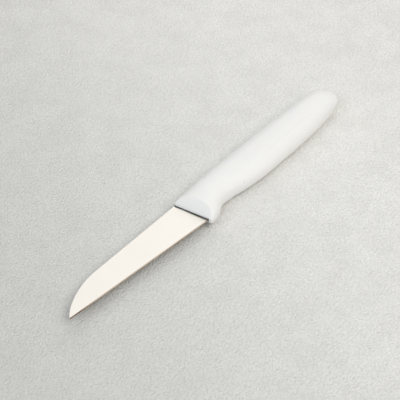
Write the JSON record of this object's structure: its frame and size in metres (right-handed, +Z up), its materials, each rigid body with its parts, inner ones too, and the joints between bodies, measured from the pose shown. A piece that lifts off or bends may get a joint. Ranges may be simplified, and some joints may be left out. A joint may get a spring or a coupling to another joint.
{
  "type": "paring knife",
  "caption": "Small kitchen knife lying on its side: a straight ground steel blade with a curved tip, its tang moulded into a white plastic handle with a finger nub.",
  "frame": {"origin": "on the table under the middle of the knife's length and height, with the knife lying on the flat of its handle", "axes": "+X from the tip to the butt, +Y from the cutting edge to the spine, +Z up from the table, square to the side of the blade"},
  "size_m": [0.1832, 0.0204, 0.0124],
  "materials": {
    "blade": "fine ground, satin",
    "handle": "moulded, satin"
  },
  "bodies": {
    "root": {"blade": "blade", "handle": "handle"}
  },
  "joints": []
}
